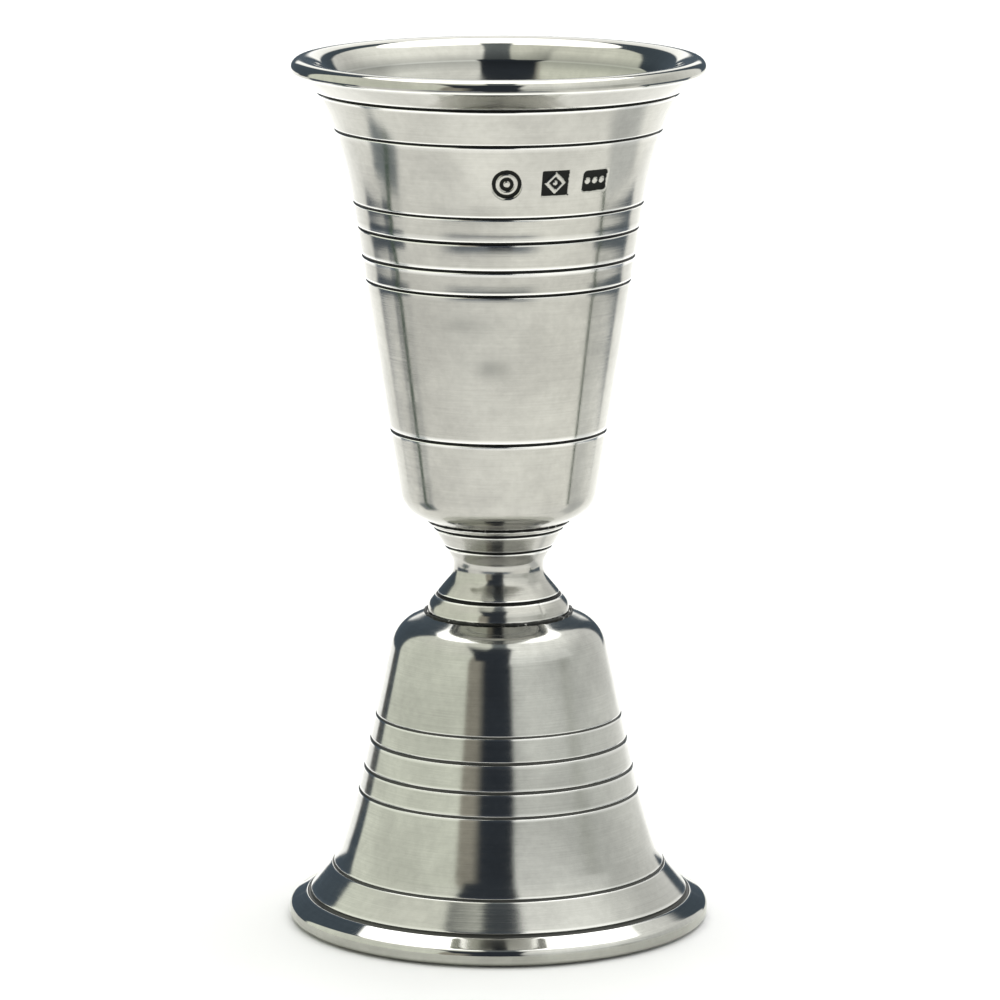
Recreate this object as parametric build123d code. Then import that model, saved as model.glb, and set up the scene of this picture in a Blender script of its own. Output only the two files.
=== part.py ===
"""Bar jigger in cast pewter: a large measuring cup over a small, bell-shaped one that doubles as the foot.

The two cups sit back to back on one vertical axis, with a turned waist stem soldered between them.
Millimetres, +Z up.  The origin is on the axis, in the plane that the foot rests on.  The three punched
marks are on the large cup's front, which faces -Y, and run round towards +X.
"""
import os
from math import atan, cos, radians, sin, tan

from build123d import *

# ---------------------------------------------------------------- driving dimensions
rim_radius = 29.25          # where the lip's side and its top would meet without rounding
foot_radius = 29.65         # widest point of the bead round the foot
total_height = 122.40
film = 0.15                 # thickness of the solder between a cup and the stem

# the stem, between the pads of the two cups: radius and height of each corner before rounding
stem_bottom = 44.25
stem_top = 57.20
stem_top_radius = 9.75
collar_radius = 10.00
collar_shoulder = (9.85, 45.45)
collar_shoulder_round = 2.00
collar_top = (8.75, 46.80)
neck = (5.73, 50.43)            # where the lines of the two cones meet
neck_round = 2.80
peg_radius = 3.00               # the peg at each end that centres the stem in a cup's recess
peg_length = 0.90

# the large cup's outside: radius and height of each corner before rounding, then the rounding
large_pad = (9.90, stem_top + film)
heel = (13.50, 59.35)
heel_round = 4.00
flare = (21.56, 110.60)
flare_round = 44.00
lip_root = (25.35, 117.95)
lip_edge = (28.80, 120.60)      # lower edge of the lip's side
lip_edge_round = 0.30
rim_outer_round = 1.35
rim_inner_round = 3.20          # a narrow flat is left on top, between the two roundings
rim_inner = 25.65

# the large cup's inside
throat = (23.30, 119.30)        # where the mouth's cone meets the bore
bore_flare = (19.65, 110.00)
inner_heel = (11.85, 59.75)
inner_heel_round = 4.50

# the small cup's outside, from the pad down
small_pad = (10.30, stem_bottom - film)
shoulder = (14.65, 42.05)
shoulder_round = 5.50
bell_bend = (20.34, 16.20)      # slow bend half way down the bell
bell_bend_round = 110.00
foot_bend = (22.72, 9.00)       # quick bend where the bell turns out into the foot
foot_bend_round = 8.00
bead_seam = (26.90, 3.90)       # where the foot's cone runs under the bead
bead_shoulder_height = 2.30
bead_round = 1.00
bead_edge_height = 0.35
bead_edge_round = 0.80
land_outer = 27.40              # the flat ring that the jigger stands on
land_inner = 26.60

# the small cup's inside
foot_throat = (21.45, 7.40)
inner_bend = (18.45, 16.20)
inner_shoulder = (12.90, 41.70)
inner_shoulder_round = 4.50

# turned grooves: height, width, depth
large_grooves = [
    (lip_root[1], 0.60, 0.30),
    (112.75, 0.45, 0.20),
    (102.60, 0.40, 0.16),
    (99.15, 0.45, 0.20),
    (95.10, 0.45, 0.20),
    (91.70, 0.45, 0.20),
    (70.40, 0.45, 0.20),
]
small_grooves = [
    (29.65, 0.35, 0.14),
    (26.10, 0.45, 0.20),
    (22.15, 0.45, 0.20),
    (18.80, 0.40, 0.18),
    (8.05, 0.45, 0.20),
    (bead_seam[1], 0.70, 0.35),
]
stem_grooves = [
    (56.40, 0.50, 0.30),
    (53.75, 0.50, 0.30),
    (collar_top[1], 0.55, 0.30),
]

# punched marks, sunk into the wall: azimuth is from -Y towards +X, in degrees
mark_height = 107.45
mark_azimuths = (3.0, 21.5, 38.5)
ground_depth = 0.26             # depth of a mark's sunk ground
motif_depth = 0.09              # depth of the motif that stands on it
punch_clearance = 1.00
round_ground = 2.05             # radius of the round mark's ground
round_ring = (1.00, 1.50)       # inner and outer radius of its ring
round_dot = 0.45
square_ground = (3.90, 3.60)    # width and height of the square mark's ground
lozenge_sides = (1.35, 2.25)    # inner and outer side of its lozenge
lozenge_bead = 0.32
oblong_ground = (4.20, 3.00)    # width and height of the oblong mark's ground
oblong_corner = 0.50
oblong_bead = 0.47
oblong_pitch = 1.24             # from one of its three beads to the next


# ---------------------------------------------------------------- outlines
def corner_points(before, corner, after, rounding):
    """Start, middle and end of the arc that rounds one corner of an outline."""
    to_before = Vector(before[0] - corner[0], before[1] - corner[1]).normalized()
    to_after = Vector(after[0] - corner[0], after[1] - corner[1]).normalized()
    half_angle = to_before.get_angle(to_after) / 2
    reach = rounding / tan(radians(half_angle))
    to_centre = (to_before + to_after).normalized()
    sagitta = rounding / sin(radians(half_angle)) - rounding
    tip = Vector(corner[0], corner[1])
    return tip + to_before * reach, tip + to_centre * sagitta, tip + to_after * reach


def outline(corners):
    """Closed face in the plane of the axis, from corners of (radius, height, rounding)."""
    edges = []
    stops = []
    for index, (radius, height, rounding) in enumerate(corners):
        if rounding == 0:
            stops.append((Vector(radius, height), Vector(radius, height)))
            continue
        before = corners[index - 1]
        after = corners[(index + 1) % len(corners)]
        start, middle, end = corner_points(before, (radius, height), after, rounding)
        edges.append(ThreePointArc(start, middle, end))
        stops.append((start, end))
    for index, (_, leave) in enumerate(stops):
        following = (index + 1) % len(stops)
        arrive = stops[following][0]
        side = Vector(*corners[following][:2]) - Vector(*corners[index][:2])
        if (arrive - leave).dot(side) < 0:
            raise ValueError(f"the roundings of corners {index} and {following} overlap")
        edges.append(Line(leave, arrive))
    return make_face(edges)


def outer_radius(section, height):
    """Radius of a section's outside at one height."""
    ray = Line((0, height), (2 * foot_radius, height))
    return (section & ray).bounding_box().max.X


def with_grooves(section, grooves):
    """The section with a round-bottomed notch cut at each groove's height."""
    for height, width, depth in grooves:
        tool_radius = (width**2 / 4 + depth**2) / (2 * depth)
        centre = outer_radius(section, height) + tool_radius - depth
        section -= Pos(centre, height) * Circle(tool_radius)
    return section


def turned(section):
    """Turn a section, drawn as radius across and height up, about the vertical axis."""
    return revolve(Plane.XZ * section, Axis.Z)


# ---------------------------------------------------------------- punched marks
def ring_and_dot():
    """Round mark: its ground, and a ring round a dot."""
    inner, outer = round_ring
    return Circle(round_ground), Circle(outer) - Circle(inner) + Circle(round_dot)


def lozenge():
    """Square mark: its ground, and an open lozenge round a bead."""
    inner, outer = lozenge_sides
    diamond = Rot(0, 0, 45) * (Rectangle(outer, outer) - Rectangle(inner, inner))
    return Rectangle(*square_ground), diamond + Circle(lozenge_bead)


def three_beads():
    """Oblong mark: its ground, and three beads in a row."""
    beads = [Pos(x, 0) * Circle(oblong_bead) for x in (-oblong_pitch, 0, oblong_pitch)]
    return RectangleRounded(*oblong_ground, oblong_corner), Sketch() + beads


def mark_plane(section, azimuth):
    """Plane that touches the wall at a mark, with its X level and its Z outwards."""
    radius = outer_radius(section, mark_height)
    above = outer_radius(section, mark_height + 1)
    lean = atan(above - radius)
    side, front = sin(radians(azimuth)), -cos(radians(azimuth))
    return Plane(
        origin=(radius * side, radius * front, mark_height),
        x_dir=(-front, side, 0),
        z_dir=(cos(lean) * side, cos(lean) * front, -sin(lean)),
    )


def punch(face, shape, depth):
    """Tool that sinks a shape to a depth below a mark's plane."""
    return extrude(face.offset(-depth) * shape, depth + punch_clearance)


# ---------------------------------------------------------------- the pieces
def peg_recess(pad_height, away):
    """Recess in a cup's pad for the stem's peg and its solder; away is +1 upwards, -1 downwards."""
    return Pos(0, 0, pad_height + away * peg_length / 2) * Cylinder(peg_radius + film, peg_length)


def large_cup():
    """The larger measure: a straight cone that flares out to a rolled lip."""
    section = outline([
        (0, large_pad[1], 0),
        (*large_pad, 0),
        (*heel, heel_round),
        (*flare, flare_round),
        (*lip_root, 0),
        (*lip_edge, lip_edge_round),
        (rim_radius, total_height, rim_outer_round),
        (rim_inner, total_height, rim_inner_round),
        (*throat, 0),
        (*bore_flare, flare_round),
        (*inner_heel, inner_heel_round),
        (0, inner_heel[1], 0),
    ])
    cup = turned(with_grooves(section, large_grooves))
    cup -= peg_recess(large_pad[1], +1)
    for azimuth, mark in zip(mark_azimuths, (ring_and_dot, lozenge, three_beads)):
        ground, motif = mark()
        face = mark_plane(section, azimuth)
        cup -= punch(face, ground - motif, ground_depth)
        cup -= punch(face, motif, motif_depth)
    return cup


def small_cup():
    """The smaller measure, mouth down: a bell whose beaded rim is the foot."""
    section = outline([
        (0, small_pad[1], 0),
        (*small_pad, 0),
        (*shoulder, shoulder_round),
        (*bell_bend, bell_bend_round),
        (*foot_bend, foot_bend_round),
        (*bead_seam, 0),
        (foot_radius, bead_shoulder_height, bead_round),
        (foot_radius, bead_edge_height, bead_edge_round),
        (land_outer, 0, 0),
        (land_inner, 0, 0),
        (*foot_throat, 0),
        (*inner_bend, bell_bend_round),
        (*inner_shoulder, inner_shoulder_round),
        (0, inner_shoulder[1], 0),
    ])
    return turned(with_grooves(section, small_grooves)) - peg_recess(small_pad[1], -1)


def waist_stem():
    """Solid turned spool between the cups, with a centring peg at each end."""
    section = outline([
        (0, stem_bottom - peg_length, 0),
        (peg_radius, stem_bottom - peg_length, 0),
        (peg_radius, stem_bottom, 0),
        (collar_radius, stem_bottom, 0),
        (*collar_shoulder, collar_shoulder_round),
        (*collar_top, 0),
        (*neck, neck_round),
        (stem_top_radius, stem_top, 0),
        (peg_radius, stem_top, 0),
        (peg_radius, stem_top + peg_length, 0),
        (0, stem_top + peg_length, 0),
    ])
    return turned(with_grooves(section, stem_grooves))


def solder_joint(stem_end, stem_radius, pad_radius, away):
    """Film of solder over one end of the stem and its peg; away is +1 above the stem, -1 below it."""
    section = outline([
        (0, stem_end + away * peg_length, 0),
        (peg_radius, stem_end + away * peg_length, 0),
        (peg_radius, stem_end, 0),
        (stem_radius, stem_end, 0),
        (pad_radius, stem_end + away * film, 0),
        (peg_radius + film, stem_end + away * film, 0),
        (peg_radius + film, stem_end + away * (peg_length + film), 0),
        (0, stem_end + away * (peg_length + film), 0),
    ])
    return turned(section)


# ---------------------------------------------------------------- write one STEP for each piece
pieces = {
    "large_cup": large_cup(),
    "small_cup": small_cup(),
    "waist_stem": waist_stem(),
    "upper_solder_joint": solder_joint(stem_top, stem_top_radius, large_pad[0], +1),
    "lower_solder_joint": solder_joint(stem_bottom, collar_radius, small_pad[0], -1),
}
os.makedirs("parts", exist_ok=True)
for name, piece in pieces.items():
    export_step(piece, f"parts/{name}.step")
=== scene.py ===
"""Looks of the bar jigger: two cast pewter cups, the turned stem between them and its two soldered joints.

Every piece is turned afresh as a clean mesh from the outline of the CAD node that it stands for.
Metres, in the frame of the CAD.  Azimuth 0 is the front, which faces -Y, and azimuths grow towards +X.
"""

from math import cos, pi, radians, sin

import bmesh
import bpy
import numpy as np
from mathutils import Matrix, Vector, noise


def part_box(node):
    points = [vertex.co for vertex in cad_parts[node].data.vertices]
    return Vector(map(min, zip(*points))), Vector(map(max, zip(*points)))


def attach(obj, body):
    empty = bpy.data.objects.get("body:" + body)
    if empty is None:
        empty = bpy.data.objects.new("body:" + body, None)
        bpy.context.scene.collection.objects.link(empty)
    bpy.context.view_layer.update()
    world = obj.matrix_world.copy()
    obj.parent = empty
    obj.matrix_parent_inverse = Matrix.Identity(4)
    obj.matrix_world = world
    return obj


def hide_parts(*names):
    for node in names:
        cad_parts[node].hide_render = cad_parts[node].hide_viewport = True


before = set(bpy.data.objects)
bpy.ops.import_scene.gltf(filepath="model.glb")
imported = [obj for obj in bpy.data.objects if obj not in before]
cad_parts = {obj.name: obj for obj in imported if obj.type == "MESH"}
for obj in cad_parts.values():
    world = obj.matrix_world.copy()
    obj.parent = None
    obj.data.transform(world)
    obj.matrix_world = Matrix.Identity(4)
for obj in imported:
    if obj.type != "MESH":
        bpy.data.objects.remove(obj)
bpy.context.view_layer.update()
MM = 0.001

# ---------------------------------------------------------------- camera
CAMERA_PLACE = (0.0002, -0.7868, 0.21105)
CAMERA_PITCH = radians(10.87)
LENS = 205.2

camera = bpy.data.objects.new("camera", bpy.data.cameras.new("camera"))
camera.data.lens = LENS
camera.data.sensor_width = 36
camera.data.clip_start = 0.05
camera.data.clip_end = 20
camera.location = CAMERA_PLACE
camera.rotation_euler = (pi / 2 - CAMERA_PITCH, 0, 0)
bpy.context.scene.collection.objects.link(camera)
bpy.context.scene.camera = camera


# ---------------------------------------------------------------- node graphs
class Graph:
    """Short names for adding nodes to one node tree."""

    def __init__(self, owner):
        owner.use_nodes = True
        self.tree = owner.node_tree
        self.tree.nodes.clear()

    def link(self, value, socket):
        if isinstance(value, bpy.types.NodeSocket):
            self.tree.links.new(value, socket)
        elif value is not None:
            socket.default_value = value

    def node(self, kind, inputs=(), **settings):
        made = self.tree.nodes.new(kind)
        for key, value in settings.items():
            setattr(made, key, value)
        pairs = inputs.items() if isinstance(inputs, dict) else enumerate(inputs)
        for key, value in pairs:
            self.link(value, made.inputs[key])
        return made

    def math(self, operation, *values):
        return self.node("ShaderNodeMath", values, operation=operation).outputs[0]

    def vector_math(self, operation, *values):
        return self.node("ShaderNodeVectorMath", values, operation=operation).outputs[0]

    def span(self, value, low, high, to_low=0.0, to_high=1.0, soft=True):
        """Maps low..high to to_low..to_high, clamped."""
        kind = "SMOOTHSTEP" if soft else "LINEAR"
        inputs = (value, low, high, to_low, to_high)
        return self.node("ShaderNodeMapRange", inputs, interpolation_type=kind).outputs[0]

    def mix(self, factor, first, second, blend="MIX"):
        made = self.node("ShaderNodeMix", data_type="RGBA", blend_type=blend)
        for value, socket in ((factor, 0), (first, 6), (second, 7)):
            self.link(value, made.inputs[socket])
        return made.outputs[2]

    def cover(self, under, colour, *masks):
        """Lays a plain colour over another, where every mask is 1."""
        factor = masks[0]
        for mask in masks[1:]:
            factor = self.math("MULTIPLY", factor, mask)
        return self.mix(factor, under, (*colour, 1))

    def between(self, value, low, high, blur):
        """1 from low to high and 0 outside, with soft edges."""
        rising = self.span(value, low - blur, low + blur)
        falling = self.span(value, high + blur, high - blur)
        return self.math("MULTIPLY", rising, falling)

    def ramp(self, value, stops):
        """Colour ramp from stops of (place, colour)."""
        made = self.node("ShaderNodeValToRGB", (value,))
        ramp = made.color_ramp
        while len(ramp.elements) < len(stops):
            ramp.elements.new(0.5)
        for element, (place, colour) in zip(ramp.elements, stops):
            element.position = place
            element.color = (*colour, 1)
        return made.outputs[0]

    def noise(self, vector, scale, detail=2.0, roughness=0.5):
        inputs = {"Vector": vector, "Scale": scale, "Detail": detail, "Roughness": roughness}
        return self.node("ShaderNodeTexNoise", inputs).outputs[0]


# ---------------------------------------------------------------- studio
FLOOR_RADIUS = 3.0
NEAR_FLOOR_RADIUS = 0.045       # the part of the floor that the metal mirrors
DOME_RADIUS = 3.06
DOME_GLOW = 1.05
FLOOR_COLOUR = (0.80, 0.80, 0.82)
NEAR_FLOOR_COLOUR = (0.80, 0.80, 0.77)

TABLE = (1.25, 1.25, 1.20)
TABLE_RIGHT = (1.40, 1.40, 1.33)
TABLE_NEAR = (1.50, 1.50, 1.44)
WHITE_BACK = (1.55, 1.55, 1.50)
DARK_BACK = (0.10, 0.13, 0.16)
DARK_CORNER = (0.16, 0.16, 0.15)
SLIT = (0.050, 0.060, 0.075)
SLIT_TOP = (0.26, 0.29, 0.30)
BROWN = (0.50, 0.475, 0.40)
LEFT_CARD = (1.18, 1.22, 1.06)
LEFT_CARD_TOP = (1.22, 1.24, 1.10)
RIGHT_CARD = (0.98, 1.00, 0.95)
RIGHT_CARD_MIDDLE = (1.34, 1.36, 1.30)
RIGHT_CARD_TOP = (1.65, 1.66, 1.58)
SOFTBOX = (3.4, 3.4, 3.3)

# brightness of the studio round the horizon, from stops of azimuth in degrees
HORIZON = [
    (-180, WHITE_BACK),
    (-146, WHITE_BACK),
    (-142, DARK_CORNER),
    (-132, DARK_CORNER),
    (-129, LEFT_CARD),
    (-34, LEFT_CARD),
    (-31, BROWN),
    (-21, BROWN),
    (-14, SLIT),
    (11, SLIT),
    (15, RIGHT_CARD),
    (32, (1.12, 1.14, 1.08)),
    (62, RIGHT_CARD),
    (72, (0.80, 0.82, 0.76)),
    (84, RIGHT_CARD),
    (150, (1.20, 1.20, 1.15)),
    (180, WHITE_BACK),
]

# things on the table: azimuths, heights of the direction, softness of each, and colour
THINGS = [
    ((-130, -84), (-0.295, -0.10), 3.0, 0.02, (0.13, 0.16, 0.20)),
    ((85, 133), (-0.295, -0.10), 3.0, 0.02, (0.18, 0.22, 0.26)),
    ((-44, 30), (-0.34, -0.14), 12.0, 0.03, (0.24, 0.28, 0.33)),
    ((-114, -88), (-0.62, -0.40), 3.0, 0.04, (0.34, 0.38, 0.40)),
    ((97, 128), (-0.70, -0.35), 4.0, 0.05, (0.95, 0.97, 0.95)),
    ((-107, -97), (-0.345, -0.25), 1.5, 0.006, (0.15, 0.18, 0.22)),
    ((-101.0, -96.4), (-0.62, -0.20), 0.5, 0.04, (0.12, 0.17, 0.13)),
    ((91.2, 95.4), (-0.44, -0.20), 0.5, 0.04, (0.14, 0.18, 0.14)),
]


def add_cards(graph, colour, x, y, z):
    """The cards at both sides grow lighter upwards."""
    right = graph.math("MULTIPLY", graph.span(x, 0.10, 0.22), graph.span(y, 0.1, -0.1))
    colour = graph.cover(colour, RIGHT_CARD_MIDDLE, right, graph.span(z, 0.23, 0.33))
    top = graph.mix(graph.span(x, 0.0, -0.02), (*RIGHT_CARD_TOP, 1), (*LEFT_CARD_TOP, 1))
    return graph.mix(graph.span(z, 0.45, 0.80), colour, top)


def add_back(graph, colour, azimuth, z):
    """Dark room behind, above the table, and a white backdrop straight behind, above the horizon."""
    room = graph.math("MAXIMUM", graph.span(azimuth, radians(-127), radians(-131)),
                      graph.span(azimuth, radians(148), radians(152)))
    colour = graph.cover(colour, DARK_BACK, room, graph.span(z, -0.08, -0.04))
    backdrop = graph.math("MAXIMUM", graph.span(azimuth, radians(-164), radians(-168)),
                          graph.span(azimuth, radians(164), radians(168)))
    return graph.cover(colour, WHITE_BACK, backdrop, graph.span(z, 0.12, 0.18))


def add_softbox(graph, colour, x, y, z):
    """Oval softbox overhead, leaning back."""
    sideways = graph.math("DIVIDE", graph.math("DIVIDE", x, z), 0.66)
    backwards = graph.math("SUBTRACT", graph.math("DIVIDE", y, z), 0.42)
    backwards = graph.math("DIVIDE", backwards, 0.56)
    oval = graph.math("ADD", graph.math("POWER", sideways, 2.0), graph.math("POWER", backwards, 2.0))
    return graph.cover(colour, SOFTBOX, graph.span(oval, 1.06, 0.94), graph.span(z, 0.0, 0.05))


def slit_mask(graph, x, y, z):
    """1 in the slit in front, which gets narrower near the top."""
    narrowed = graph.math("DIVIDE", x, graph.span(z, 0.86, 0.94, 1.0, 0.55))
    return graph.math("MULTIPLY", graph.between(narrowed, -0.155, 0.195, 0.02), graph.span(y, 0.03, -0.02))


def add_slit(graph, colour, slit, x, y, z):
    """The slit, from just under the horizon to the softbox, and the dark place above the brown card."""
    slit_colour = graph.mix(graph.span(z, 0.86, 0.96), (*SLIT, 1), (*SLIT_TOP, 1))
    upwards = graph.math("MULTIPLY", slit, graph.span(z, -0.20, -0.12))
    colour = graph.mix(upwards, colour, slit_colour)
    across = graph.between(x, -0.40, 0.05, 0.03)
    upright = graph.between(z, 0.42, 0.88, 0.06)
    return graph.cover(colour, SLIT, across, upright, graph.span(y, 0.0, -0.05))


def add_table(graph, colour, slit, x, y, z, azimuth):
    """The white table, lighter towards the object and the backdrop, with the things on it."""
    table = graph.mix(graph.span(x, -0.35, 0.35), (*TABLE, 1), (*TABLE_RIGHT, 1))
    table = graph.cover(table, TABLE_NEAR, graph.span(z, -0.40, -0.52))
    table = graph.cover(table, WHITE_BACK, graph.span(y, 0.2, 0.95))
    colour = graph.mix(graph.span(z, -0.10, -0.14), colour, table)
    for azimuths, heights, turn_blur, height_blur, shade in THINGS:
        across = graph.between(azimuth, *np.radians(azimuths).tolist(), radians(turn_blur))
        upright = graph.between(z, *heights, height_blur)
        colour = graph.cover(colour, shade, across, upright)
    return graph.cover(colour, SLIT, slit, graph.span(z, -0.34, -0.28), graph.span(z, -0.10, -0.14))


def make_world():
    """Soft studio: a white table, cards at both sides, a dark slit in front and a softbox overhead."""
    world = bpy.data.worlds.new("studio")
    bpy.context.scene.world = world
    graph = Graph(world)
    direction = graph.node("ShaderNodeTexCoord").outputs["Generated"]
    x, y, z = graph.node("ShaderNodeSeparateXYZ", (direction,)).outputs
    azimuth = graph.math("ARCTAN2", x, graph.math("MULTIPLY", y, -1.0))
    place = graph.math("MULTIPLY_ADD", azimuth, 1 / (2 * pi), 0.5)
    colour = graph.ramp(place, [((angle + 180) / 360, shade) for angle, shade in HORIZON])
    slit = slit_mask(graph, x, y, z)
    colour = add_cards(graph, colour, x, y, z)
    colour = add_back(graph, colour, azimuth, z)
    colour = add_softbox(graph, colour, x, y, z)
    colour = add_slit(graph, colour, slit, x, y, z)
    colour = add_table(graph, colour, slit, x, y, z, azimuth)
    background = graph.node("ShaderNodeBackground", (colour, 1.0))
    graph.node("ShaderNodeOutputWorld", (background.outputs[0],))


make_world()


def stage_disc(name, radius, height, colour):
    """Round floor, thin and level."""
    mesh = bpy.data.meshes.new(name)
    bm = bmesh.new()
    bmesh.ops.create_circle(bm, cap_ends=True, segments=96, radius=radius)
    bm.to_mesh(mesh)
    bm.free()
    disc = bpy.data.objects.new(name, mesh)
    disc.location.z = height
    bpy.context.scene.collection.objects.link(disc)
    material = bpy.data.materials.new(name)
    graph = Graph(material)
    inputs = {"Base Color": (*colour, 1), "Roughness": 0.6, "Specular IOR Level": 0.2}
    shader = graph.node("ShaderNodeBsdfPrincipled", inputs)
    graph.node("ShaderNodeOutputMaterial", (shader.outputs[0],))
    mesh.materials.append(material)
    return disc


def stage_dome():
    """Pale backdrop that only the camera sees."""
    mesh = bpy.data.meshes.new("backdrop")
    bm = bmesh.new()
    bmesh.ops.create_uvsphere(bm, u_segments=48, v_segments=24, radius=DOME_RADIUS)
    bm.to_mesh(mesh)
    bm.free()
    dome = bpy.data.objects.new("backdrop", mesh)
    bpy.context.scene.collection.objects.link(dome)
    material = bpy.data.materials.new("backdrop")
    graph = Graph(material)
    glow = graph.node("ShaderNodeEmission", ((1, 1, 1, 1), DOME_GLOW))
    graph.node("ShaderNodeOutputMaterial", (glow.outputs[0],))
    mesh.materials.append(material)
    dome.visible_diffuse = False
    dome.visible_glossy = False
    dome.visible_transmission = False
    dome.visible_volume_scatter = False
    dome.visible_shadow = False


floor = stage_disc("floor", FLOOR_RADIUS, 0.0, FLOOR_COLOUR)
floor.visible_glossy = False
near_floor = stage_disc("near_floor", NEAR_FLOOR_RADIUS, 0.01 * MM, NEAR_FLOOR_COLOUR)
near_floor.visible_camera = False
near_floor.visible_diffuse = False
near_floor.visible_shadow = False
stage_dome()


# ---------------------------------------------------------------- outlines
SHARP = radians(13)             # a corner that turns by more than this isn't part of an arc
FINE_STEP = 0.02 * MM
SMOOTHING = 0.055 * MM          # rounds the edges of the grooves
GROOVE_REACH = 0.45 * MM        # a groove lies below the chord between the points this far each way
HOLLOW_REACH = 0.90 * MM        # a long hollow, such as the neck, shows at this reach too and is left out
GROOVE_DEPTHS = (0.012 * MM, 0.05 * MM)     # where patina begins and where it is full
EDGE_REACH = 0.16 * MM
EDGE_HEIGHTS = (0.012 * MM, 0.035 * MM)     # where wear begins and where it is full
ROW_TURN = radians(9)           # the most that the outline turns from one row to the next
GROOVE_STEP = 0.09 * MM         # between rows in a groove
FINEST_ROW_STEP = 0.05 * MM


def read_outline(node):
    """Half outline of a turned CAD node as (radius, height), from its lower end, outside first."""
    bm = bmesh.new()
    bm.from_mesh(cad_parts[node].data)
    bmesh.ops.remove_doubles(bm, verts=bm.verts, dist=1e-6)
    everything = bm.verts[:] + bm.edges[:] + bm.faces[:]
    cut = bmesh.ops.bisect_plane(
        bm, geom=everything, dist=1e-7, plane_co=(0, 0, 0), plane_no=(0, 1, 0)
    )["geom_cut"]
    links = {}
    for edge in cut:
        if isinstance(edge, bmesh.types.BMEdge) and all(v.co.x > 1e-6 for v in edge.verts):
            first, second = edge.verts
            links.setdefault(first, []).append(second)
            links.setdefault(second, []).append(first)
    ends = [v for v in links if len(links[v]) == 1]
    here, before = min(ends, key=lambda v: v.co.z), None
    points = [(0, here.co.z)]
    while here is not None:
        points.append((here.co.x, here.co.z))
        onward = [v for v in links[here] if v is not before]
        here, before = (onward[0] if onward else None), here
    points.append((0, points[-1][1]))
    bm.free()
    return np.array(points)


def smooth_outline(points):
    """The outline as a fine curve: straight runs stay straight, arcs get round, sharp corners stay."""
    step = np.diff(points, axis=0)
    length = np.hypot(*step.T)
    angle = np.unwrap(np.arctan2(step[:, 1], step[:, 0]))
    turn = np.diff(angle)
    count = len(step)
    leave, arrive = np.full(count, np.nan), np.full(count, np.nan)
    for i in range(count - 1):
        if abs(turn[i]) > SHARP:
            continue
        if length[i] > 3 * length[i + 1]:
            tangent = angle[i]
        elif length[i + 1] > 3 * length[i]:
            tangent = angle[i + 1]
        else:
            tangent = angle[i] + turn[i] * length[i] / (length[i] + length[i + 1])
        arrive[i] = leave[i + 1] = tangent
    for i in range(count):
        if np.isnan(leave[i]) and np.isnan(arrive[i]):
            leave[i] = arrive[i] = angle[i]
        elif np.isnan(leave[i]):
            leave[i] = 2 * angle[i] - arrive[i]
        elif np.isnan(arrive[i]):
            arrive[i] = 2 * angle[i] - leave[i]
    fine = []
    for i in range(count):
        pieces = max(2, int(np.ceil(length[i] / FINE_STEP)))
        t = np.arange(pieces)[:, None] / pieces
        start = np.array([cos(leave[i]), sin(leave[i])]) * length[i]
        end = np.array([cos(arrive[i]), sin(arrive[i])]) * length[i]
        fine.append(
            (2 * t**3 - 3 * t**2 + 1) * points[i]
            + (t**3 - 2 * t**2 + t) * start
            + (3 * t**2 - 2 * t**3) * points[i + 1]
            + (t**3 - t**2) * end
        )
    fine.append(points[-1:])
    return np.concatenate(fine)


def along(points):
    """Distance along an outline to each of its points."""
    return np.concatenate([[0], np.cumsum(np.hypot(*np.diff(points, axis=0).T))])


def evenly(points, step):
    """The outline with points at equal distances."""
    distance = along(points)
    wanted = np.linspace(0, distance[-1], int(distance[-1] / step) + 1)
    return np.stack([np.interp(wanted, distance, points[:, k]) for k in (0, 1)], axis=1)


def blurred(values, width, step):
    """Values, a fixed step apart, smoothed by a bell curve of that width."""
    reach = int(4 * width / step)
    bell = np.exp(-0.5 * (np.arange(-reach, reach + 1) * step / width) ** 2)
    padded = np.pad(values, reach, mode="reflect", reflect_type="odd")
    return np.convolve(padded, bell / bell.sum(), mode="valid")


def widened(values, reach):
    """Each value, a fine step apart, replaced by the highest within reach of it."""
    count = max(1, int(reach / FINE_STEP))
    padded = np.pad(values, count, mode="edge")
    windows = np.lib.stride_tricks.sliding_window_view(padded, 2 * count + 1)
    return windows.max(axis=1)


def ramped(values, low, high):
    """Values mapped from low..high to 0..1, clipped."""
    return np.clip((values - low) / (high - low), 0, 1)


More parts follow.
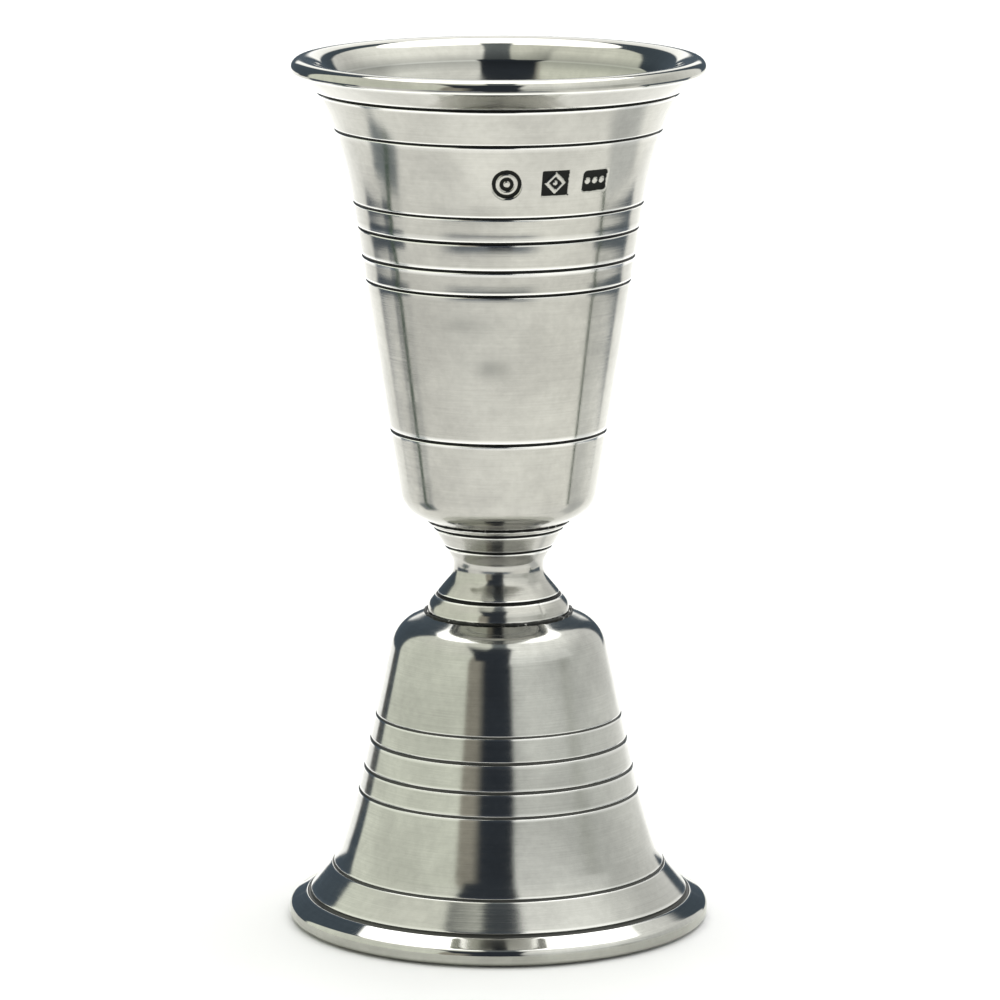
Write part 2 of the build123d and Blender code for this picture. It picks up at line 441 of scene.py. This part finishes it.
class Profile:
    """Rows of a turned piece: closest together where its outline turns quickest."""

    def __init__(self, node, plain_step, coarse_inside=1.0, marked=None):
        fine = evenly(smooth_outline(read_outline(node)), FINE_STEP)
        ends = fine[0].copy(), fine[-1].copy()
        fine = np.stack([blurred(fine[:, k], SMOOTHING, FINE_STEP) for k in (0, 1)], axis=1)
        fine[0], fine[-1] = ends
        tangent = np.gradient(fine, axis=0)
        tangent /= np.hypot(*tangent.T)[:, None]
        heading = np.unwrap(np.arctan2(tangent[:, 1], tangent[:, 0]))
        bend = np.abs(np.gradient(heading)) / FINE_STEP
        inside = tangent[:, 1] < -0.3
        cavity = self.cavity(fine, tangent, GROOVE_REACH)
        cavity = np.minimum(cavity, cavity - self.cavity(fine, tangent, HOLLOW_REACH) / 4)
        grooved = ramped(widened(cavity, 0.06 * MM), *GROOVE_DEPTHS)
        edge = ramped(widened(-self.cavity(fine, tangent, EDGE_REACH), 0.05 * MM), *EDGE_HEIGHTS)
        density = 1 / np.where(inside, plain_step * coarse_inside, plain_step) + bend / ROW_TURN
        density = np.maximum(density, (widened(cavity, 0.15 * MM) > 0.015 * MM) / GROOVE_STEP)
        if marked is not None:
            low, high, step = marked
            density[(fine[:, 1] > low) & (fine[:, 1] < high) & ~inside] = 1 / step
        density = blurred(np.minimum(density, 1 / FINEST_ROW_STEP), 0.05 * MM, FINE_STEP)
        tally = np.concatenate([[0], np.cumsum((density[1:] + density[:-1]) / 2 * FINE_STEP)])
        rows = np.interp(np.linspace(0, tally[-1], int(tally[-1]) + 1), tally, np.arange(len(fine)))
        index = np.unique(np.round(rows).astype(int))
        self.radius, self.height = fine[index].T
        self.radius[[0, -1]] = 0
        self.normal = np.stack([tangent[index, 1], -tangent[index, 0]], axis=1)
        self.normal[[0, -1], 0] = 0
        self.distance = index * FINE_STEP
        self.patina = grooved[index]
        self.worn = (edge * (1 - grooved))[index]
        self.inside = inside[index]
        self.outside = (~self.inside)[:, None]

    @staticmethod
    def cavity(fine, tangent, reach):
        """How far each point lies below the chord between its neighbours at that reach."""
        count = int(reach / FINE_STEP)
        padded = np.pad(fine, ((count, count), (0, 0)), mode="edge")
        chord = (padded[: -2 * count] + padded[2 * count:]) / 2
        outward = np.stack([tangent[:, 1], -tangent[:, 0]], axis=1)
        return ((chord - fine) * outward).sum(axis=1)


# ---------------------------------------------------------------- turning
def columns(dense_from, dense_to, dense_step, plain_count):
    """Azimuths of a turned piece's columns, closer together over one stretch."""
    dense = np.arange(dense_from, dense_to, dense_step)
    plain = np.linspace(dense_to, dense_from + 360, plain_count, endpoint=False)
    return np.radians(np.concatenate([dense, plain]))


def turned(name, profile, azimuths, rise, patina=0.0, polish=0.0, darkening=0.0):
    """Mesh object of a turned piece; rise is how far each point stands out along its normal."""
    rows, count = len(profile.radius), len(azimuths)
    radius = profile.radius[:, None] + profile.normal[:, 0:1] * rise
    height = profile.height[:, None] + profile.normal[:, 1:2] * rise
    radius[[0, -1]] = 0
    height[0] = profile.height[0]
    height[-1] = profile.height[-1]
    across = np.stack([radius * np.sin(azimuths), -radius * np.cos(azimuths), height], axis=-1)
    points = np.concatenate([across[0, :1], across[1:-1].reshape(-1, 3), across[-1, :1]])
    last = len(points) - 1
    body = np.arange(1, last).reshape(rows - 2, count)
    ahead = np.roll(body, -1, axis=1)
    quads = np.stack([body[:-1], ahead[:-1], ahead[1:], body[1:]], axis=-1).reshape(-1, 4)
    bottom = [(0, b, a) for a, b in zip(body[0], ahead[0])]
    top = [(last, a, b) for a, b in zip(body[-1], ahead[-1])]
    mesh = bpy.data.meshes.new(name)
    mesh.from_pydata(points.tolist(), [], quads.tolist() + bottom + top)
    mesh.polygons.foreach_set("use_smooth", [True] * len(mesh.polygons))
    level = np.zeros((rows, count))
    spin = np.stack([
        level + np.cos(azimuths),
        level + np.sin(azimuths),
        level + (profile.distance / MM)[:, None],
    ], axis=-1)
    store(mesh, "patina", spread(np.maximum(level + profile.patina[:, None], patina)))
    store(mesh, "worn", spread(level + profile.worn[:, None]))
    store(mesh, "polish", spread(level + polish))
    store(mesh, "darkening", spread(level + darkening))
    store(mesh, "turned", spread(spin), "FLOAT_VECTOR")
    mesh.update()
    made = bpy.data.objects.new(name, mesh)
    bpy.context.scene.collection.objects.link(made)
    return made


def spread(grid):
    """Values of a grid of rows and columns in the order of the mesh's points."""
    return np.concatenate([grid[0, :1], grid[1:-1].reshape(-1, *grid.shape[2:]), grid[-1, :1]])


def store(mesh, name, values, kind="FLOAT"):
    key = "value" if kind == "FLOAT" else "vector"
    attribute = mesh.attributes.new(name, kind, "POINT")
    attribute.data.foreach_set(key, np.ascontiguousarray(values, np.float32).ravel())


def wobble(profile, azimuths, size, wavelength, seed):
    """Gentle unevenness of hand work, the same each run."""
    radius = np.maximum(profile.radius, 3 * MM)
    rows = []
    for r, z, distance in zip(radius, profile.height, profile.distance):
        layer = 50 if distance > 70 * MM else 0     # a cup's inside isn't a copy of its outside
        shift = Vector((0, 0, seed + layer))
        rows.append([
            noise.noise(Vector((r * sin(a), -r * cos(a), z)) / wavelength + shift)
            for a in azimuths
        ])
    return size * np.array(rows)


def spot(profile, azimuths, azimuth, height, width, tall):
    """1 at one place of the outside, fading away from it; all sizes in millimetres and degrees."""
    turn = np.angle(np.exp(1j * (azimuths - radians(azimuth))))
    arc = profile.radius[:, None] * turn / MM
    up = (profile.height / MM - height)[:, None]
    return np.exp(-0.5 * ((arc / width) ** 2 + (up / tall) ** 2)) * profile.outside


def spots(profile, azimuths, places):
    """Sum of spots, from (azimuth, height, width, tall, strength)."""
    return sum(size * spot(profile, azimuths, *place) for *place, size in places)


def beside(profile, grooves):
    """Swelling above each groove and a shallow cove below it, as the turning tool left them."""
    total = np.zeros(len(profile.height))
    for groove, swell, cove, length in grooves:
        up = profile.height / MM - groove
        total += swell * np.exp(-(((up - 0.35) / 0.42) ** 2)) * (up > 0)
        total -= cove * np.clip(1 + up / length, 0, 1) ** 2 * (up <= 0)
    return (total * MM)[:, None] * profile.outside


# ---------------------------------------------------------------- punched marks
LIP_HEIGHT = 116 * MM           # the lip begins above this
MARK_HEIGHT = 107.45 * MM
MARK_AZIMUTHS = (3.0, 21.5, 38.5)
GROUND_DEPTH = 0.26 * MM
MOTIF_DEPTH = 0.09 * MM

# millimetres, as in the signed distances
MARK_EDGE = 0.07
ROUND_GROUND = 2.05             # radius of the round mark's ground
ROUND_RING = (1.00, 1.50)       # inner and outer radius of its ring
ROUND_DOT = 0.45
SQUARE_GROUND = (3.90, 3.60)    # width and height of the square mark's ground
SQUARE_CORNER = 0.05
LOZENGE_SIDES = (1.35, 2.25)    # inner and outer side of its lozenge
LOZENGE_BEAD = 0.32
OBLONG_GROUND = (4.20, 3.00)    # width and height of the oblong mark's ground
OBLONG_CORNER = 0.50
OBLONG_BEAD = 0.47
OBLONG_PITCH = 1.24             # from one of its three beads to the next


def below(distance):
    """1 inside a shape and 0 outside it, from the signed distance to its edge."""
    return np.clip(0.5 - distance / (2 * MARK_EDGE), 0, 1)


def rounded_box(x, y, width, height, corner):
    """Signed distance to a rectangle with round corners."""
    dx = np.abs(x) - width / 2 + corner
    dy = np.abs(y) - height / 2 + corner
    return np.hypot(np.maximum(dx, 0), np.maximum(dy, 0)) + np.minimum(np.maximum(dx, dy), 0) - corner


def band(distance, inner, outer):
    """Signed distance to the band between two distances."""
    return np.abs(distance - (inner + outer) / 2) - (outer - inner) / 2


def ring_and_dot(x, y):
    """Round mark: its ground, and a ring round a dot."""
    r = np.hypot(x, y)
    return r - ROUND_GROUND, np.minimum(band(r, *ROUND_RING), r - ROUND_DOT)


def lozenge(x, y):
    """Square mark: its ground, and an open lozenge round a bead."""
    inner, outer = LOZENGE_SIDES
    diamond = band((np.abs(x) + np.abs(y)) / 2**0.5, inner / 2, outer / 2)
    ground = rounded_box(x, y, *SQUARE_GROUND, SQUARE_CORNER)
    return ground, np.minimum(diamond, np.hypot(x, y) - LOZENGE_BEAD)


def three_beads(x, y):
    """Oblong mark: its ground, and three beads in a row."""
    beads = [np.hypot(x - place, y) - OBLONG_BEAD for place in (-OBLONG_PITCH, 0, OBLONG_PITCH)]
    return rounded_box(x, y, *OBLONG_GROUND, OBLONG_CORNER), np.minimum.reduce(beads)


def punched(profile, azimuths):
    """Depth of the three punched marks over the large cup's grid, and their dark grounds."""
    outside = (profile.normal[:, 0] > 0.5) & (profile.height < LIP_HEIGHT)
    middle = np.interp(MARK_HEIGHT, profile.height[outside], profile.distance[outside])
    radius = np.interp(MARK_HEIGHT, profile.height[outside], profile.radius[outside]) / MM
    y = (profile.distance - middle)[:, None] / MM + np.zeros(len(azimuths))
    depth, dark = np.zeros(y.shape), np.zeros(y.shape)
    for azimuth, mark in zip(MARK_AZIMUTHS, (ring_and_dot, lozenge, three_beads)):
        turn = np.angle(np.exp(1j * (azimuths - radians(azimuth))))
        ground, motif = mark(radius * np.tan(np.clip(turn, -0.5, 0.5))[None, :] + 0 * y, y)
        this = below(ground) * (GROUND_DEPTH + (MOTIF_DEPTH - GROUND_DEPTH) * below(motif))
        depth = np.maximum(depth, this)
        dark = np.maximum(dark, below(ground) * (1 - below(motif)))
    return depth * outside[:, None], dark * outside[:, None]


# ---------------------------------------------------------------- materials
PATINA = (0.018, 0.019, 0.018, 1)
# colour of the darker spots and rings laid on the large cup
DARKENING_COLOUR = (0.17, 0.175, 0.165, 1)


def metal(name, tint, rough, brushing, line_depth, anisotropy, edge_tint=0.80, grime=1.0):
    """Cast pewter with turning lines, a cloudy tone, darker spots and rings where stored, dark patina in its
    grooves and bright worn edges.
    """
    material = bpy.data.materials.new(name)
    graph = Graph(material)
    place = graph.node("ShaderNodeTexCoord").outputs["Object"]

    def stored(attribute, output="Fac"):
        return graph.node("ShaderNodeAttribute", attribute_name=attribute).outputs[output]

    spin = stored("turned", "Vector")
    polish = stored("polish")
    # clouds about 16 mm across and specks about 1 mm across, then lines round the axis
    cloud = graph.noise(place, 60, 3, 0.6)
    speck = graph.noise(place, 900, 2, 0.6)
    fine_lines = graph.noise(graph.vector_math("MULTIPLY", spin, (1.6, 1.6, 7.0)), 1.0, 3, 0.7)
    wide_lines = graph.noise(graph.vector_math("MULTIPLY", spin, (0.8, 0.8, 1.3)), 1.0, 2, 0.6)
    breaks = graph.noise(graph.vector_math("MULTIPLY", spin, (9.0, 9.0, 1.5)), 1.0, 3, 0.7)
    # patina with ragged edges
    level = graph.math("ADD", stored("patina"), graph.span(breaks, 0.30, 0.75, -0.25, 0.25, soft=False))
    patina = graph.span(level, 0.25, 0.80)
    # colour
    bright = tuple(c * 1.06 for c in tint)
    dull = tuple(c * 0.86 for c in tint)
    base = graph.mix(graph.span(cloud, 0.35, 0.65), (*bright, 1), (*dull, 1))
    streak = graph.span(fine_lines, 0.30, 0.70, 1 - brushing, 1 + brushing, soft=False)
    streak = graph.math("MULTIPLY", streak, graph.span(speck, 0.30, 0.70, 0.955, 1.045, soft=False))
    base = graph.mix(1.0, base, graph.node("ShaderNodeCombineXYZ", (streak,) * 3).outputs[0], "MULTIPLY")
    # darker spots and rings, where the stored attribute asks for them
    base = graph.mix(stored("darkening"), base, DARKENING_COLOUR)
    base = graph.mix(stored("worn"), base, (edge_tint, edge_tint, edge_tint * 0.98, 1))
    base = graph.mix(graph.math("MULTIPLY", patina, grime), base, PATINA)
    # roughness
    roughness = graph.math("MULTIPLY_ADD", graph.math("SUBTRACT", wide_lines, 0.5), 0.12, rough)
    roughness = graph.math("MULTIPLY_ADD", graph.math("SUBTRACT", cloud, 0.5), 0.08, roughness)
    smooth = graph.math("MULTIPLY_ADD", cloud, 0.08, 0.03)
    roughness = graph.node("ShaderNodeMix", (polish, None, roughness, smooth)).outputs[0]
    roughness = graph.math("MAXIMUM", roughness, graph.math("MULTIPLY", patina, 0.5))
    # relief
    lines = graph.math("MULTIPLY_ADD", wide_lines, 0.6, fine_lines)
    relief = graph.math("MULTIPLY_ADD", speck, 0.25, lines)
    relief = graph.math("MULTIPLY", relief, graph.span(polish, 0.0, 1.0, 1.0, 0.15, soft=False))
    bump = graph.node("ShaderNodeBump", {"Strength": 1.0, "Distance": line_depth, "Height": relief})
    tangent = graph.node("ShaderNodeTangent", direction_type="RADIAL", axis="Z")
    shader = graph.node("ShaderNodeBsdfPrincipled", {
        "Base Color": base,
        "Metallic": 1.0,
        "Roughness": roughness,
        "Anisotropic": anisotropy,
        "Anisotropic Rotation": 0.25,
        "Normal": bump.outputs[0],
        "Tangent": tangent.outputs[0],
    })
    graph.node("ShaderNodeOutputMaterial", (shader.outputs[0],))
    return material


def solder_metal():
    """Blackened soft solder with bright high spots."""
    material = bpy.data.materials.new("solder_finish")
    graph = Graph(material)
    place = graph.node("ShaderNodeTexCoord").outputs["Object"]
    lumps = graph.noise(place, 1400, 3, 0.6)
    base = graph.mix(graph.span(lumps, 0.60, 0.72), (0.030, 0.031, 0.030, 1), (0.50, 0.50, 0.48, 1))
    roughness = graph.span(lumps, 0.52, 0.66, 0.45, 0.18)
    bump = graph.node("ShaderNodeBump", {"Strength": 1.0, "Distance": 0.04 * MM, "Height": lumps})
    shader = graph.node("ShaderNodeBsdfPrincipled", {
        "Base Color": base,
        "Metallic": 1.0,
        "Roughness": roughness,
        "Normal": bump.outputs[0],
    })
    graph.node("ShaderNodeOutputMaterial", (shader.outputs[0],))
    return material


satin = metal("satin_finish", (0.44, 0.435, 0.405), 0.135, 0.045, 0.004 * MM, 0.4)
polished = metal("polished_finish", (0.43, 0.43, 0.41), 0.12, 0.06, 0.004 * MM, 0.4, 0.62, 0.85)
stem_metal = metal("stem_finish", (0.42, 0.415, 0.39), 0.15, 0.05, 0.004 * MM, 0.3)
solder = solder_metal()


# ---------------------------------------------------------------- the pieces
def finished(piece, node, material):
    """Gives a piece its material and lets it stand for its CAD node."""
    piece.data.materials.append(material)
    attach(piece, "root")
    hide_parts(node)
    return piece


# swelling above and cove below some of the large cup's grooves: height, swell, depth and length of the cove
LARGE_BESIDE = [(99.15, 0.080, 0.150, 2.2), (91.70, 0.080, 0.070, 0.9), (102.60, 0.02, 0.02, 0.7)]
# darker spots on the large cup's wall: azimuth, height, width, height of the spot, strength
LARGE_DARK_SPOTS = [
    (-9.0, 86.5, 4.5, 4.5, 0.20),
    (-4.0, 81.4, 1.5, 0.9, 0.48),
    (-15.0, 87.6, 2.4, 0.8, 0.30),
    (-24.0, 108.0, 2.2, 2.6, 0.14),
]
# dents: azimuth, height, width, height of the dent, depth
SMALL_DENTS = [(43.5, 6.5, 1.1, 0.9, 0.07)]
STEM_DENTS = [(48.6, 49.0, 0.7, 0.5, 0.16), (39.6, 45.8, 0.12, 0.5, 0.14), (-28.0, 48.8, 0.5, 0.4, 0.08)]


MARKED_HEIGHTS = (105 * MM, 109.9 * MM)
MARKED_STEP = 0.13 * MM
LIP_POLISH = (117.3 * MM, 117.8 * MM)           # heights between which satin turns into polish
THROAT_HEIGHT = 119.3                           # millimetres
FOOT_POLISH = (4.4 * MM, 3.9 * MM)
SHOULDER_POLISH = (37 * MM, 40 * MM)


def make_large_cup():
    profile = Profile("large_cup", 0.70 * MM, 2.0, marked=(*MARKED_HEIGHTS, MARKED_STEP))
    azimuths = columns(-3, 45, 0.32, 100)
    sunk, dark = punched(profile, azimuths)
    rise = wobble(profile, azimuths, 0.03 * MM, 16 * MM, 0) + beside(profile, LARGE_BESIDE) - sunk
    throat = np.exp(-(((profile.height / MM - THROAT_HEIGHT) / 0.55) ** 2)) * profile.inside
    polish = ramped(profile.height, *LIP_POLISH)[:, None]
    # darker spots on the wall and a darker ring inside the mouth, where its cone meets the bore
    darkening = spots(profile, azimuths, LARGE_DARK_SPOTS) + 0.65 * throat[:, None]
    piece = turned("large_cup_body", profile, azimuths, rise, dark, polish, darkening)
    return finished(piece, "large_cup", satin)


def make_small_cup():
    profile = Profile("small_cup", 0.45 * MM, 2.0)
    azimuths = columns(0, 0, 1, 220)
    rise = wobble(profile, azimuths, 0.03 * MM, 14 * MM, 7) - spots(profile, azimuths, SMALL_DENTS) * MM
    polish = ramped(profile.height, *FOOT_POLISH) + 0.1 * ramped(profile.height, *SHOULDER_POLISH)
    piece = turned("small_cup_body", profile, azimuths, rise, polish=polish[:, None])
    return finished(piece, "small_cup", polished)


def make_stem():
    profile = Profile("waist_stem", 0.30 * MM)
    azimuths = columns(20, 60, 1.0, 180)
    rise = wobble(profile, azimuths, 0.04 * MM, 5 * MM, 3) - spots(profile, azimuths, STEM_DENTS) * MM
    piece = turned("waist_stem_body", profile, azimuths, rise)
    return finished(piece, "waist_stem", stem_metal)


def make_solder_bead(name, node, height, thickness, seed):
    """Lumpy ring of solder round the edge of one joint."""
    ring_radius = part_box(node)[1][0] + 0.02 * MM
    sides, count = 12, 240
    around = np.linspace(0, 2 * pi, sides, endpoint=False)
    points = []
    for azimuth in np.linspace(0, 2 * pi, count, endpoint=False):
        lump = noise.fractal(Vector((7 * sin(azimuth), -7 * cos(azimuth), seed)), 0.6, 2.0, 3)
        size = thickness * (1 + 0.45 * lump)
        for angle in around:
            radius = ring_radius + size * cos(angle)
            points.append((radius * sin(azimuth), -radius * cos(azimuth), height + 0.8 * size * sin(angle)))
    body = np.arange(count * sides).reshape(count, sides)
    ahead, beyond = np.roll(body, -1, axis=0), np.roll(body, -1, axis=1)
    quads = np.stack([body, ahead, np.roll(ahead, -1, axis=1), beyond], axis=-1).reshape(-1, 4)
    mesh = bpy.data.meshes.new(name)
    mesh.from_pydata(points, [], quads.tolist())
    mesh.polygons.foreach_set("use_smooth", [True] * len(mesh.polygons))
    piece = bpy.data.objects.new(name, mesh)
    bpy.context.scene.collection.objects.link(piece)
    return finished(piece, node, solder)


make_large_cup()
make_small_cup()
make_stem()
upper_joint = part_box("upper_solder_joint")[0][2]
lower_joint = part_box("lower_solder_joint")[1][2]
make_solder_bead("upper_solder_bead", "upper_solder_joint", upper_joint + 0.07 * MM, 0.14 * MM, 1)
make_solder_bead("lower_solder_bead", "lower_solder_joint", lower_joint - 0.10 * MM, 0.24 * MM, 5)

scene = bpy.context.scene
scene.view_settings.view_transform = "Standard"
